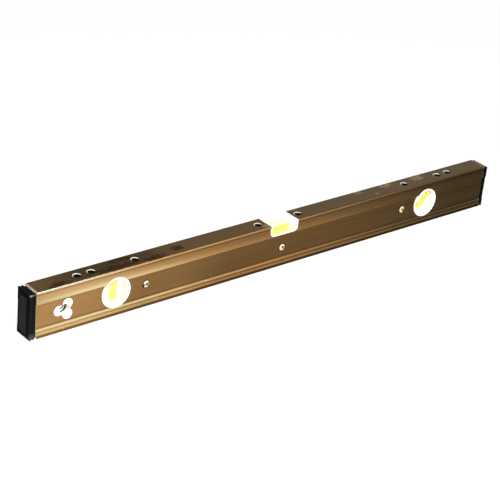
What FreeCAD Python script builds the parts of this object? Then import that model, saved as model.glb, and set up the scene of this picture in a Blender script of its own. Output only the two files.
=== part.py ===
import FreeCAD, Part
import math
import os
from FreeCAD import Vector

# Spirit level, 600 mm beam standing on its lower edge.
# X runs along the beam, the marked face looks to -Y, Z is up and z = 0 is the lower face.

# beam envelope
BEAM_LENGTH = 600.0
BEAM_HEIGHT = 50.0
BEAM_DEPTH = 22.6

# lower part of the beam section: heights above the lower face, steps in from the outer face
FOOT_BEVEL = 0.3
FLANGE_HEIGHT = 3.2
LINE_HEIGHT = 4.9
LINE_STEP = 0.45
GROOVE_STEP = 1.0
GROOVE_LOW = 5.05
GROOVE_HIGH = 5.5
SLOPE_FOOT = 5.7
SLOPE_FOOT_STEP = 0.35
SLOPE_BEND = 7.3
SLOPE_BEND_STEP = 0.65
SLOPE_HEAD = 9.2
PANEL_RECESS = 1.6

# upper part of the beam section: distances below the upper face, steps in from the outer face
BEAD_EDGE_STEP = 0.75
BEAD_SHOULDER_DROP = 0.45
BEAD_SHOULDER_STEP = 0.36
BEAD_CHEST_DROP = 1.25
BEAD_CHEST_STEP = 0.1
BEAD_DROP = 2.0
BAND_DROP = 2.6
BAND_HOLLOW = 1.3
BAND_FACETS = 7
LIP_DROP = 13.6
LIP_BEVEL = 0.25
LIP_UNDERCUT = 0.5
PANEL_FILLET_DROP = 1.0
PANEL_FILLET_STEP = 0.3

# walls inside the beam
SIDE_WALL = 1.8
FOOT_WALL = 2.0
TOP_WALL = 2.0
WEB_DROP = 7.3
WEB_THICKNESS = 1.5

# round windows, placed from the beam's ends, the lower face and the web
WINDOW_END = 90.8
WINDOW_FOOT = 8.4
WINDOW_HEAD_ROOM = 0.9

# notch of the level vial, whose middle is a little off the beam's
LEVEL_X = 0.8
NOTCH_WIDTH = 36.6
NOTCH_DEPTH = 12.65
NOTCH_CORNER = 5.0

# hanging hole, three lobes round a middle circle, as shares of the panel's height
HANG_END = 32.0
HANG_RISE = 0.3
LOBE_SHARE = 0.211
LOBE_REACH_SHARE = 0.245
LOBE_MIDDLE_SHARE = 0.238
LINER_BORE_SHARE = 0.219

# screws
SCREW_FROM_WINDOW = 35.6
SIDE_SCREW_DROP = 0.35
LEVEL_SCREW_DROP = 1.2
SCREW_HEAD_RADIUS = 4.1
SCREW_HEAD_HEIGHT = 1.9
SCREW_DOME = 0.7
SCREW_SHANK_RADIUS = 1.95
SCREW_LENGTH = 9.0
SCREW_POINT = 1.2
SCREW_POINT_RADIUS = 0.6
SCREW_SEAT_GAP = 0.6
SCREW_SEAT_DEPTH = 0.9
CROSS_WIDTH = 1.15
CROSS_SPAN = 4.6
CROSS_DEPTH = 1.0
CROSS_WELL_RADIUS = 1.25
SCREW_TURNS = (18.0, 62.0, 35.0)

# magnets in the upper face: the outer ones from each end, the inner pair beside the notch
MAGNET_FROM_END = (50.8, 67.0, 118.0)
MAGNET_FROM_NOTCH = 8.8
MAGNET_HOLE_RADIUS = 4.6
CUP_WALL = 0.7
CUP_FLOOR = 0.8
CUP_SETBACK = 0.25
CUP_RIM_BEVEL = 0.25
MAGNET_SETBACK = 1.9

# clear block and barrel of a window vial, along its own axis
HOLDER_WALL = 1.2
BLOCK_SIDE_MARGIN = 3.2
BLOCK_FOOT_MARGIN = 1.8
BARREL_HEAD_WALL = 0.8
BARREL_PLUG_LENGTH = 3.4
BARREL_RADIUS = 4.0
BARREL_CROWN = 0.12
RING_OFFSETS = (-7.95, -4.75, 4.75, 7.95)
RING_WIDTH = 0.7
RING_THICKNESS = 0.23

# clear block and barrel of the level vial, along the beam
TRAY_WALL = 1.2
TRAY_FLOOR = 1.9
TRAY_SETBACK = 0.3
TRAY_SINK = 0.35
LEVEL_BLOCK_SETBACK = 0.7
LEVEL_AXIS_DROP = 5.6
LEVEL_BARREL_WALL = 1.0
LEVEL_PLUG_LENGTH = 7.2

# bubbles, as shares of the barrel's radius, and their length
BUBBLE_SHARE = 0.725
LEVEL_BUBBLE_SHARE = 0.625
LEVEL_RISE_SHARE = 0.225
BUBBLE_LENGTH = 9.2

# white carriers
HOLDER_PROUD = 0.4
HOLDER_LIP = 0.5
HOLDER_LIP_DEPTH = 0.6
ARM_HALF_HEIGHT = 4.5
ARM_THICKNESS = 3.2
BOSS_RADIUS = 5.2
BOSS_SHARE = 0.667
BOSS_END_WALL = 1.0

# hanging hole liners
LINER_FACE_SETBACK = 0.2
LINER_GAP = 3.2
LINER_FLANGE = 1.2
LINER_FLANGE_THICKNESS = 1.4
LINER_TUBE_WALL = 1.1

# end caps: neck, ridge, waist, rim and a low pyramid up to a flat panel; the right one is pushed
# further home, which squeezes these lengths to a share of the left one's
CAP_SQUEEZE = 0.58
CAP_NECK_LENGTH = 2.3
CAP_NECK_SETBACK = 1.3
CAP_RIDGE_LENGTH = 1.0
CAP_WAIST_LENGTH = 2.7
CAP_WAIST_SETBACK = 0.55
CAP_RIM_LENGTH = 1.4
CAP_RIM_SETBACK = 0.1
CAP_HOLLOW = 0.7
CAP_FOOT_CLEARANCE = 0.15
CAP_TOP_DROP = 1.2
CAP_BEVEL_DEPTH = 1.1
CAP_PANEL_MARGIN = 5.0
CAP_PLUG_LENGTH = 13.0
CAP_PLUG_WALL = 2.0
CAP_PLUG_LEAD = 0.8

# clearances of the fits
FIT_WINDOW = 0.1
FIT_NOTCH = 0.15
FIT_BLOCK = 0.1
FIT_LIQUID = 0.05
FIT_RING = 0.05
FIT_PLUG = 0.05
FIT_MAGNET = 0.05
FIT_CUP = 0.05
FIT_SCREW = 0.05
FIT_LINER = 0.1
FIT_CAP = 0.15
FIT_BUBBLE = 0.2
FIT_BUBBLE_END = 0.15
LIQUID_SKIN = 0.3
SHANK_HOLE_SPARE = 0.25

# how far a cutting body runs past the face it opens
PAST = 1.0

HALF_LENGTH = BEAM_LENGTH / 2.0
HALF_DEPTH = BEAM_DEPTH / 2.0
PANEL_Y = HALF_DEPTH - PANEL_RECESS
INNER_PANEL_Y = PANEL_Y - SIDE_WALL
INNER_BAND_Y = HALF_DEPTH - BAND_HOLLOW - SIDE_WALL
LIP_UNDERSIDE = BEAM_HEIGHT - LIP_DROP
PANEL_TOP = LIP_UNDERSIDE - LIP_UNDERCUT
PANEL_HEIGHT = PANEL_TOP - SLOPE_HEAD
PANEL_MIDDLE = (PANEL_TOP + SLOPE_HEAD) / 2.0
BAND_TOP = BEAM_HEIGHT - BAND_DROP
WEB_UNDERSIDE = BEAM_HEIGHT - WEB_DROP
WEB_TOP = WEB_UNDERSIDE + WEB_THICKNESS
WINDOW_X = HALF_LENGTH - WINDOW_END
WINDOW_RADIUS = (WEB_UNDERSIDE - WINDOW_HEAD_ROOM - WINDOW_FOOT) / 2.0
WINDOW_Z = WINDOW_FOOT + WINDOW_RADIUS
NOTCH_FLOOR = BEAM_HEIGHT - NOTCH_DEPTH
HANG_X = HANG_END - HALF_LENGTH
HANG_Z = PANEL_MIDDLE + HANG_RISE
LOBE_RADIUS = PANEL_HEIGHT * LOBE_SHARE
LOBE_REACH = PANEL_HEIGHT * LOBE_REACH_SHARE
LOBE_MIDDLE = PANEL_HEIGHT * LOBE_MIDDLE_SHARE
LINER_BORE = PANEL_HEIGHT * LINER_BORE_SHARE
SCREW_X = WINDOW_X - SCREW_FROM_WINDOW
SIDE_SCREW_Z = WINDOW_Z - SIDE_SCREW_DROP
LEVEL_SCREW_Z = PANEL_MIDDLE - LEVEL_SCREW_DROP
SCREW_SEAT_Y = -PANEL_Y + SCREW_SEAT_DEPTH
SCREW_SEAT_RADIUS = SCREW_HEAD_RADIUS + SCREW_SEAT_GAP
CUP_RADIUS = MAGNET_HOLE_RADIUS - FIT_CUP
HOLDER_FACE = PANEL_Y + HOLDER_PROUD
HOLDER_RADIUS = WINDOW_RADIUS - FIT_WINDOW
BLOCK_REACH = HOLDER_RADIUS - HOLDER_WALL - FIT_BLOCK
BLOCK_HALF_WIDTH = BLOCK_REACH - BLOCK_SIDE_MARGIN
BLOCK_FOOT = BLOCK_FOOT_MARGIN - BLOCK_REACH
BLOCK_HALF_DEPTH = HOLDER_FACE - HOLDER_LIP_DEPTH
BARREL_LOW = BLOCK_FOOT + BARREL_PLUG_LENGTH
BARREL_HIGH = BLOCK_REACH - BARREL_HEAD_WALL
BUBBLE_RADIUS = BARREL_RADIUS * BUBBLE_SHARE
LEVEL_BUBBLE_RADIUS = BARREL_RADIUS * LEVEL_BUBBLE_SHARE
LEVEL_BUBBLE_RISE = BARREL_RADIUS * LEVEL_RISE_SHARE
LEVEL_AXIS_Z = BEAM_HEIGHT - LEVEL_AXIS_DROP
TRAY_HALF = NOTCH_WIDTH / 2.0 - FIT_NOTCH
TRAY_TOP = BEAM_HEIGHT - TRAY_SINK
TRAY_FLOOR_Z = NOTCH_FLOOR + TRAY_FLOOR
LEVEL_BLOCK_HALF = TRAY_HALF - TRAY_WALL - FIT_BLOCK
LEVEL_BLOCK_HALF_DEPTH = HALF_DEPTH - LEVEL_BLOCK_SETBACK
BOSS_DEPTH = 2.0 * INNER_PANEL_Y * BOSS_SHARE
X_AXIS = Vector(1, 0, 0)
Y_AXIS = Vector(0, 1, 0)
Z_AXIS = Vector(0, 0, 1)
ORIGIN = Vector(0, 0, 0)


def box(x0, x1, y0, y1, z0, z1):
    return Part.makeBox(x1 - x0, y1 - y0, z1 - z0, Vector(x0, y0, z0))


def rod_y(radius, x, z, y0, y1):
    return Part.makeCylinder(radius, y1 - y0, Vector(x, y0, z), Y_AXIS)


def rod_z(radius, x, y, z0, z1):
    return Part.makeCylinder(radius, z1 - z0, Vector(x, y, z0), Z_AXIS)


def section_face(half_points, x):
    right = [Vector(x, y, z) for y, z in half_points]
    left = [Vector(x, -y, z) for y, z in reversed(half_points)]
    loop = right + left
    return Part.Face(Part.makePolygon(loop + [loop[0]]))


def slab(half_points, x0, x1):
    return section_face(half_points, x0).extrude(Vector(x1 - x0, 0, 0))


def outer_section():
    lip = LIP_UNDERSIDE + LIP_BEVEL
    points = [
        (HALF_DEPTH - FOOT_BEVEL, 0.0),
        (HALF_DEPTH, FOOT_BEVEL),
        (HALF_DEPTH, FLANGE_HEIGHT),
        (HALF_DEPTH - LINE_STEP, LINE_HEIGHT),
        (HALF_DEPTH - GROOVE_STEP, GROOVE_LOW),
        (HALF_DEPTH - GROOVE_STEP, GROOVE_HIGH),
        (HALF_DEPTH - SLOPE_FOOT_STEP, SLOPE_FOOT),
        (HALF_DEPTH - SLOPE_BEND_STEP, SLOPE_BEND),
        (PANEL_Y, SLOPE_HEAD),
        (PANEL_Y, PANEL_TOP - PANEL_FILLET_DROP),
        (PANEL_Y + PANEL_FILLET_STEP, PANEL_TOP),
        (HALF_DEPTH - LIP_BEVEL, LIP_UNDERSIDE),
    ]
    for facet in range(BAND_FACETS + 1):
        share = facet / BAND_FACETS
        hollow = BAND_HOLLOW * (1.0 - (1.0 - share) ** 2)
        points.append((HALF_DEPTH - hollow, lip + (BAND_TOP - lip) * share))
    return points + [
        (HALF_DEPTH, BEAM_HEIGHT - BEAD_DROP),
        (HALF_DEPTH - BEAD_CHEST_STEP, BEAM_HEIGHT - BEAD_CHEST_DROP),
        (HALF_DEPTH - BEAD_SHOULDER_STEP, BEAM_HEIGHT - BEAD_SHOULDER_DROP),
        (HALF_DEPTH - BEAD_EDGE_STEP, BEAM_HEIGHT),
    ]


def lower_cavity():
    return [
        (INNER_BAND_Y, FOOT_WALL),
        (INNER_BAND_Y, FLANGE_HEIGHT),
        (INNER_PANEL_Y, SLOPE_HEAD - LINE_STEP),
        (INNER_PANEL_Y, PANEL_TOP + SIDE_WALL / 2.0),
        (INNER_BAND_Y, LIP_UNDERSIDE + SIDE_WALL),
        (INNER_BAND_Y, WEB_UNDERSIDE),
    ]


def upper_cavity():
    return [(INNER_BAND_Y, WEB_TOP), (INNER_BAND_Y, BEAM_HEIGHT - TOP_WALL)]


def notch_shape(half_width, floor, corner, half_depth, top):
    left = -half_width
    right = half_width
    bend = corner * math.sqrt(0.5)
    low = floor + corner
    arc_right = Part.Arc(
        Vector(right - corner, 0, floor),
        Vector(right - corner + bend, 0, low - bend),
        Vector(right, 0, low),
    ).toShape()
    arc_left = Part.Arc(
        Vector(left, 0, low),
        Vector(left + corner - bend, 0, low - bend),
        Vector(left + corner, 0, floor),
    ).toShape()
    edges = [
        Part.makeLine(Vector(left + corner, 0, floor), Vector(right - corner, 0, floor)),
        arc_right,
        Part.makeLine(Vector(right, 0, low), Vector(right, 0, top)),
        Part.makeLine(Vector(right, 0, top), Vector(left, 0, top)),
        Part.makeLine(Vector(left, 0, top), Vector(left, 0, low)),
        arc_left,
    ]
    face = Part.Face(Part.Wire(edges))
    face.translate(Vector(0, -half_depth, 0))
    return face.extrude(Vector(0, 2.0 * half_depth, 0))


def trefoil(grow, y0, y1):
    body = rod_y(LOBE_MIDDLE + grow, HANG_X, HANG_Z, y0, y1)
    for turn in (60.0, 180.0, 300.0):
        angle = math.radians(turn)
        x = HANG_X + LOBE_REACH * math.cos(angle)
        z = HANG_Z + LOBE_REACH * math.sin(angle)
        body = body.fuse(rod_y(LOBE_RADIUS + grow, x, z, y0, y1))
    return body.removeSplitter()


def screw_places():
    return [
        (-SCREW_X, SIDE_SCREW_Z),
        (LEVEL_X, LEVEL_SCREW_Z),
        (SCREW_X, SIDE_SCREW_Z),
    ]


def magnet_places():
    ends = [HALF_LENGTH - distance for distance in MAGNET_FROM_END]
    inner = NOTCH_WIDTH / 2.0 + MAGNET_FROM_NOTCH
    right = sorted(ends + [inner])
    return [-x for x in reversed(right)] + right


def build_beam():
    left = -HALF_LENGTH - PAST
    right = HALF_LENGTH + PAST
    front = -HALF_DEPTH - PAST
    back = HALF_DEPTH + PAST
    beam = slab(outer_section(), -HALF_LENGTH, HALF_LENGTH)
    cuts = [slab(lower_cavity(), left, right), slab(upper_cavity(), left, right)]
    for x in (-WINDOW_X, WINDOW_X):
        cuts.append(rod_y(WINDOW_RADIUS, x, WINDOW_Z, front, back))
    half_notch = NOTCH_WIDTH / 2.0
    notch = notch_shape(half_notch, NOTCH_FLOOR, NOTCH_CORNER, back, BEAM_HEIGHT + PAST)
    notch.translate(Vector(LEVEL_X, 0, 0))
    cuts.append(notch)
    cuts.append(trefoil(0.0, front, back))
    shank_hole = SCREW_SHANK_RADIUS + SHANK_HOLE_SPARE
    for x, z in screw_places():
        cuts.append(rod_y(SCREW_SEAT_RADIUS, x, z, front, SCREW_SEAT_Y))
        cuts.append(rod_y(shank_hole, x, z, front, -INNER_PANEL_Y + PAST))
    for x in magnet_places():
        low = BEAM_HEIGHT - TOP_WALL - PAST
        cuts.append(rod_z(MAGNET_HOLE_RADIUS, x, 0, low, BEAM_HEIGHT + PAST))
    for cutter in cuts:
        beam = beam.cut(cutter)
    return beam


def cap_section(setback, inset):
    y = HALF_DEPTH - setback
    z0 = CAP_FOOT_CLEARANCE + inset
    z1 = BEAM_HEIGHT - CAP_TOP_DROP - inset
    low = SLOPE_HEAD + CAP_HOLLOW
    high = LIP_UNDERSIDE - CAP_HOLLOW
    return [
        (y, z0),
        (y, SLOPE_BEND),
        (y - CAP_HOLLOW, low),
        (y - CAP_HOLLOW, high),
        (y, BEAM_HEIGHT - LIP_DROP + LIP_BEVEL),
        (y, z1),
    ]


def rectangle(x, half_y, z0, z1):
    corners = [(-half_y, z0), (half_y, z0), (half_y, z1), (-half_y, z1)]
    points = [Vector(x, y, z) for y, z in corners]
    return Part.makePolygon(points + [points[0]])


def build_cap(side):
    squeeze = CAP_SQUEEZE if side > 0 else 1.0
    neck_x = HALF_LENGTH + CAP_NECK_LENGTH * squeeze
    ridge_x = neck_x + CAP_RIDGE_LENGTH * squeeze
    waist_x = ridge_x + CAP_WAIST_LENGTH * squeeze
    rim_x = waist_x + CAP_RIM_LENGTH * squeeze
    panel_x = rim_x + CAP_BEVEL_DEPTH
    neck_step = CAP_NECK_SETBACK - CAP_RIM_SETBACK
    waist_step = CAP_WAIST_SETBACK - CAP_RIM_SETBACK
    neck = slab(cap_section(CAP_NECK_SETBACK, neck_step), HALF_LENGTH, neck_x)
    ridge = slab(cap_section(CAP_RIM_SETBACK, 0.0), neck_x, ridge_x)
    waist = slab(cap_section(CAP_WAIST_SETBACK, waist_step), ridge_x, waist_x)
    rim = slab(cap_section(CAP_RIM_SETBACK, 0.0), waist_x, panel_x)
    rim_y = HALF_DEPTH - CAP_RIM_SETBACK
    z0 = CAP_FOOT_CLEARANCE
    z1 = BEAM_HEIGHT - CAP_TOP_DROP
    m = CAP_PANEL_MARGIN
    outer = rectangle(rim_x, rim_y, z0, z1)
    panel = rectangle(panel_x, rim_y - m, z0 + m, z1 - m)
    pyramid = Part.makeLoft([outer, panel], True, True)
    limit = box(waist_x, rim_x, -rim_y, rim_y, z0, z1).fuse(pyramid)
    py = INNER_PANEL_Y - FIT_CAP
    pz0 = FOOT_WALL + FIT_CAP
    pz1 = WEB_UNDERSIDE - FIT_CAP
    px = HALF_LENGTH - CAP_PLUG_LENGTH
    w = CAP_PLUG_WALL
    plug = box(px, HALF_LENGTH, -py, py, pz0, pz1)
    lead = [e for e in plug.Edges if abs(e.CenterOfMass.x - px) < 0.01]
    plug = plug.makeChamfer(CAP_PLUG_LEAD, lead)
    hollow = box(px - PAST, HALF_LENGTH - w, w - py, py - w, pz0 + w, pz1 - w)
    cap = neck.fuse([ridge, waist, rim.common(limit), plug.cut(hollow)]).removeSplitter()
    if side < 0:
        cap = cap.mirror(ORIGIN, X_AXIS)
    return cap


def build_liner(side):
    face = PANEL_Y - LINER_FACE_SETBACK
    seat = INNER_PANEL_Y
    inner = LINER_GAP / 2.0
    liner = trefoil(-FIT_LINER, -face, -seat)
    flange = trefoil(LINER_FLANGE, -seat, -seat + LINER_FLANGE_THICKNESS)
    tube = rod_y(LINER_BORE + LINER_TUBE_WALL, HANG_X, HANG_Z, -seat, -inner)
    liner = liner.fuse([flange, tube]).removeSplitter()
    liner = liner.cut(rod_y(LINER_BORE, HANG_X, HANG_Z, -HALF_DEPTH, HALF_DEPTH))
    if side > 0:
        liner = liner.mirror(ORIGIN, Y_AXIS)
    return liner


def crowned_rod(radius, crown, z0, z1):
    mid = (z0 + z1) / 2.0
    side = Part.Arc(
        Vector(radius - crown, 0, z0),
        Vector(radius, 0, mid),
        Vector(radius - crown, 0, z1),
    ).toShape()
    edges = [
        Part.makeLine(Vector(0, 0, z0), Vector(radius - crown, 0, z0)),
        side,
        Part.makeLine(Vector(radius - crown, 0, z1), Vector(0, 0, z1)),
        Part.makeLine(Vector(0, 0, z1), Vector(0, 0, z0)),
    ]
    return Part.Face(Part.Wire(edges)).revolve(ORIGIN, Z_AXIS, 360)


def capsule(radius, length, z_mid, x):
    half = length / 2.0 - radius
    rod = Part.makeCylinder(radius, 2 * half, Vector(x, 0, z_mid - half), Z_AXIS)
    low = Part.makeSphere(radius, Vector(x, 0, z_mid - half))
    high = Part.makeSphere(radius, Vector(x, 0, z_mid + half))
    return rod.fuse([low, high]).removeSplitter()


def window_block_blank(grow, depth):
    width = BLOCK_HALF_WIDTH + grow
    reach = BLOCK_REACH + grow
    blank = box(-width, width, -depth, depth, BLOCK_FOOT, reach)
    return blank.common(rod_y(reach, 0, 0, -depth, depth))


def vial(blank, foot, low, high, bubble_radius, rise, bubble_mid):
    mid = (low + high) / 2.0
    block = blank.cut(crowned_rod(BARREL_RADIUS, BARREL_CROWN, low, high))
    plug_bore = BARREL_RADIUS - BARREL_CROWN
    bore = Part.makeCylinder(plug_bore, low - foot + PAST, Vector(0, 0, foot - PAST))
    block = block.cut(bore)
    rings = []
    outer = BARREL_RADIUS + FIT_RING + RING_THICKNESS
    for offset in RING_OFFSETS:
        place = Vector(0, 0, mid + offset - RING_WIDTH / 2.0)
        block = block.cut(Part.makeCylinder(outer + FIT_RING, RING_WIDTH, place))
        inside = Part.makeCylinder(outer - RING_THICKNESS, RING_WIDTH, place)
        rings.append(Part.makeCylinder(outer, RING_WIDTH, place).cut(inside))
    liquid = crowned_rod(BARREL_RADIUS - FIT_LIQUID, BARREL_CROWN, low, high)
    channel = high - low - 2.0 * LIQUID_SKIN
    liquid = liquid.cut(capsule(bubble_radius + FIT_BUBBLE, channel, mid, -rise))
    return {
        "block": block,
        "rings": Part.makeCompound(rings),
        "liquid": liquid,
        "bubble": capsule(bubble_radius, BUBBLE_LENGTH, bubble_mid, -rise),
        "plug": Part.makeCylinder(plug_bore - FIT_PLUG, low - foot, Vector(0, 0, foot)),
    }


def window_vial():
    blank = window_block_blank(0.0, BLOCK_HALF_DEPTH)
    bubble_top = BARREL_HIGH - LIQUID_SKIN - FIT_BUBBLE_END
    bubble_mid = bubble_top - BUBBLE_LENGTH / 2.0
    return vial(blank, BLOCK_FOOT, BARREL_LOW, BARREL_HIGH, BUBBLE_RADIUS, 0.0, bubble_mid)


def level_vial():
    half = LEVEL_BLOCK_HALF
    depth = LEVEL_BLOCK_HALF_DEPTH
    top = LEVEL_AXIS_Z - TRAY_TOP
    bottom = LEVEL_AXIS_Z - TRAY_FLOOR_Z - FIT_BLOCK
    blank = box(top, bottom, -depth, depth, -half, half)
    low = LEVEL_PLUG_LENGTH - half
    high = half - LEVEL_BARREL_WALL
    middle = (low + high) / 2.0
    pieces = vial(blank, -half, low, high, LEVEL_BUBBLE_RADIUS, LEVEL_BUBBLE_RISE, middle)
    for shape in pieces.values():
        shape.rotate(ORIGIN, Y_AXIS, 90)
        shape.rotate(ORIGIN, Z_AXIS, 180)
        shape.translate(Vector(LEVEL_X, 0, LEVEL_AXIS_Z))
    return pieces


def arm_and_boss(x0, x1, z0, z1, boss_x, boss_z):
    y0 = -INNER_PANEL_Y
    arm = box(x0, x1, y0, y0 + ARM_THICKNESS, z0, z1)
    return arm.fuse(rod_y(BOSS_RADIUS, boss_x, boss_z, y0, y0 + BOSS_DEPTH))


def pilot(boss_x, boss_z):
    y0 = -INNER_PANEL_Y - PAST
    y1 = -INNER_PANEL_Y + BOSS_DEPTH - BOSS_END_WALL
    return rod_y(SCREW_SHANK_RADIUS + FIT_SCREW, boss_x, boss_z, y0, y1)


def build_window_holder(centre_x, screw_x, turn):
    boss_x = screw_x - centre_x
    boss_z = -SIDE_SCREW_DROP
    root_x = math.copysign(BLOCK_REACH, boss_x)
    w = ARM_HALF_HEIGHT
    disc = rod_y(HOLDER_RADIUS, 0, 0, -HOLDER_FACE, HOLDER_FACE)
    x0 = min(root_x, boss_x)
    x1 = max(root_x, boss_x)
    body = disc.fuse(arm_and_boss(x0, x1, boss_z - w, boss_z + w, boss_x, boss_z))
    well = window_block_blank(FIT_BLOCK, BLOCK_HALF_DEPTH)
    exit_well = window_block_blank(FIT_BLOCK, BLOCK_HALF_DEPTH)
    exit_well.translate(Vector(0, HOLDER_LIP_DEPTH + PAST, 0))
    lip = HOLDER_LIP
    width = BLOCK_HALF_WIDTH - lip
    sight = box(-width, width, -HOLDER_FACE - PAST, 0, BLOCK_FOOT + lip, BLOCK_REACH)
    sight = sight.common(rod_y(BLOCK_REACH - lip, 0, 0, -HOLDER_FACE - PAST, 0))
    for opening in (well, exit_well, sight):
        opening.rotate(ORIGIN, Y_AXIS, turn)
        body = body.cut(opening)
    body = body.cut(pilot(boss_x, boss_z)).removeSplitter()
    body.translate(Vector(centre_x, 0, WINDOW_Z))
    return body


def build_level_holder():
    corner = NOTCH_CORNER - FIT_NOTCH
    depth = HALF_DEPTH - TRAY_SETBACK
    tray = notch_shape(TRAY_HALF, NOTCH_FLOOR, corner, depth, TRAY_TOP)
    inner = LEVEL_BLOCK_HALF + FIT_BLOCK
    room = depth + PAST
    tray = tray.cut(box(-inner, inner, -room, room, TRAY_FLOOR_Z, TRAY_TOP + PAST))
    w = ARM_HALF_HEIGHT
    z1 = (NOTCH_FLOOR + TRAY_FLOOR_Z) / 2.0
    leg = arm_and_boss(-w, w, LEVEL_SCREW_Z, z1, 0.0, LEVEL_SCREW_Z)
    holder = tray.fuse(leg).removeSplitter().cut(pilot(0.0, LEVEL_SCREW_Z))
    holder.translate(Vector(LEVEL_X, 0, 0))
    return holder


def build_screw(x, z, turn):
    seat_y = SCREW_SEAT_Y
    face_y = seat_y - SCREW_HEAD_HEIGHT
    point_y = seat_y + SCREW_LENGTH - SCREW_POINT
    head = rod_y(SCREW_HEAD_RADIUS, 0, 0, face_y, seat_y)
    ball = (SCREW_HEAD_RADIUS ** 2 + SCREW_DOME ** 2) / (2 * SCREW_DOME)
    head = head.common(Part.makeSphere(ball, Vector(0, face_y + ball, 0)))
    shank = rod_y(SCREW_SHANK_RADIUS, 0, 0, seat_y, point_y)
    start = Vector(0, point_y, 0)
    tip = Part.makeCone(SCREW_SHANK_RADIUS, SCREW_POINT_RADIUS, SCREW_POINT, start, Y_AXIS)
    screw = head.fuse([shank, tip])
    w = CROSS_WIDTH / 2
    s = CROSS_SPAN / 2
    y0 = face_y - PAST
    y1 = face_y + CROSS_DEPTH
    cross = box(-s, s, y0, y1, -w, w).fuse(box(-w, w, y0, y1, -s, s))
    mouth = Vector(0, face_y, 0)
    well = Part.makeCone(CROSS_WELL_RADIUS, w, CROSS_DEPTH + w, mouth, Y_AXIS)
    cross = cross.fuse(well)
    cross.rotate(ORIGIN, Y_AXIS, turn)
    screw = screw.cut(cross)
    screw.translate(Vector(x, 0, z))
    return screw


def build_cup(x):
    top = BEAM_HEIGHT - CUP_SETBACK
    cup = rod_z(CUP_RADIUS, x, 0, WEB_TOP, top)
    rim = [e for e in cup.Edges if abs(e.CenterOfMass.z - top) < 0.01]
    cup = cup.makeChamfer(CUP_RIM_BEVEL, rim)
    return cup.cut(rod_z(CUP_RADIUS - CUP_WALL, x, 0, WEB_TOP + CUP_FLOOR, top + PAST))


def build_magnet(x):
    top = BEAM_HEIGHT - CUP_SETBACK - MAGNET_SETBACK
    return rod_z(CUP_RADIUS - CUP_WALL - FIT_MAGNET, x, 0, WEB_TOP + CUP_FLOOR, top)


def main():
    os.makedirs("parts", exist_ok=True)
    nodes = {
        "beam": build_beam(),
        "left_end_cap": build_cap(-1),
        "right_end_cap": build_cap(1),
        "hang_liner_front": build_liner(-1),
        "hang_liner_back": build_liner(1),
        "plumb_holder": build_window_holder(-WINDOW_X, -SCREW_X, 0.0),
        "angle_holder": build_window_holder(WINDOW_X, SCREW_X, 45.0),
        "level_holder": build_level_holder(),
    }
    plumb = window_vial()
    for name, shape in plumb.items():
        shape.translate(Vector(-WINDOW_X, 0, WINDOW_Z))
        nodes["plumb_" + name] = shape
    angle = window_vial()
    for name, shape in angle.items():
        shape.rotate(ORIGIN, Y_AXIS, 45)
        shape.translate(Vector(WINDOW_X, 0, WINDOW_Z))
        nodes["angle_" + name] = shape
    for name, shape in level_vial().items():
        nodes["level_" + name] = shape
    screws = []
    for (x, z), turn in zip(screw_places(), SCREW_TURNS):
        screws.append(build_screw(x, z, turn))
    nodes["holder_screws"] = Part.makeCompound(screws)
    for index, x in enumerate(magnet_places()):
        nodes["magnet_cup_%d" % (index + 1)] = build_cup(x)
        nodes["magnet_%d" % (index + 1)] = build_magnet(x)
    for name, shape in nodes.items():
        solids = shape.Solids
        report = (name, len(solids), shape.isValid(), round(shape.Volume, 1))
        print("%s solids=%d valid=%s volume=%s" % report)
        shape.exportStep("parts/%s.step" % name)


main()
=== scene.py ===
"""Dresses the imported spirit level: a bronze box beam with three vials, magnets and end caps."""

import logging
import math
from dataclasses import dataclass
from enum import Enum
from typing import Iterable, Sequence, Union

import bmesh
import bpy
from mathutils import Matrix, Vector


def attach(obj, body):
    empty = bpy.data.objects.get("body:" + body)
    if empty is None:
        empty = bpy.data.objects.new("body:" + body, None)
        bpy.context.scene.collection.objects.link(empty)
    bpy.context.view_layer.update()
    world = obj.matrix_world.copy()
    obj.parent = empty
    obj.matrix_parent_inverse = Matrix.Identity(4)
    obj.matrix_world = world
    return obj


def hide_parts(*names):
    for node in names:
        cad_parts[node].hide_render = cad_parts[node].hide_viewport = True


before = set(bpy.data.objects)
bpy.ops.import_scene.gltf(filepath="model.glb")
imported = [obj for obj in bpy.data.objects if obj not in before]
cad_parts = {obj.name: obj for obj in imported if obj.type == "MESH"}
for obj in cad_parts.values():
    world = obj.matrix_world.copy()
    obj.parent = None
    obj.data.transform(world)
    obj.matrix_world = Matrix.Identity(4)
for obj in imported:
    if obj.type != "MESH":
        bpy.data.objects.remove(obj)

LOG = logging.getLogger("spirit_level")
MM = 0.001
MERGE_M = 0.000001
MERGE_MM = 0.0005
FALL = (1.0, 0.0)
OVAL_EDGE = (0.7, 1.3)

Colour = tuple[float, float, float]
Point = tuple[float, float, float]
Span = tuple[float, float]
Stops = tuple[Span, ...]
Ovals = tuple[tuple[float, float, float, float], ...]
Socket = bpy.types.NodeSocket
Feed = Union[float, Sequence[float], Socket]


class Slot(Enum):
    """Material slots that the part's record names."""

    BRONZE = "bronze_anodised"
    CAP = "cap_black"
    WHITE = "white_plastic"
    CLEAR = "clear_block"
    RING = "ring_yellow"
    LIQUID = "vial_liquid"
    AIR = "air_bubble"
    SCREW = "screw_brass"
    CUP = "cup_nickel"
    MAGNET = "magnet_black"


class Axis(Enum):
    """Direction of a vial's barrel, as a unit vector in the row frame."""

    UPRIGHT = (0.0, 0.0, 1.0)
    SLANTED = (math.sqrt(0.5), 0.0, math.sqrt(0.5))
    LENGTHWISE = (-1.0, 0.0, 0.0)


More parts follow.
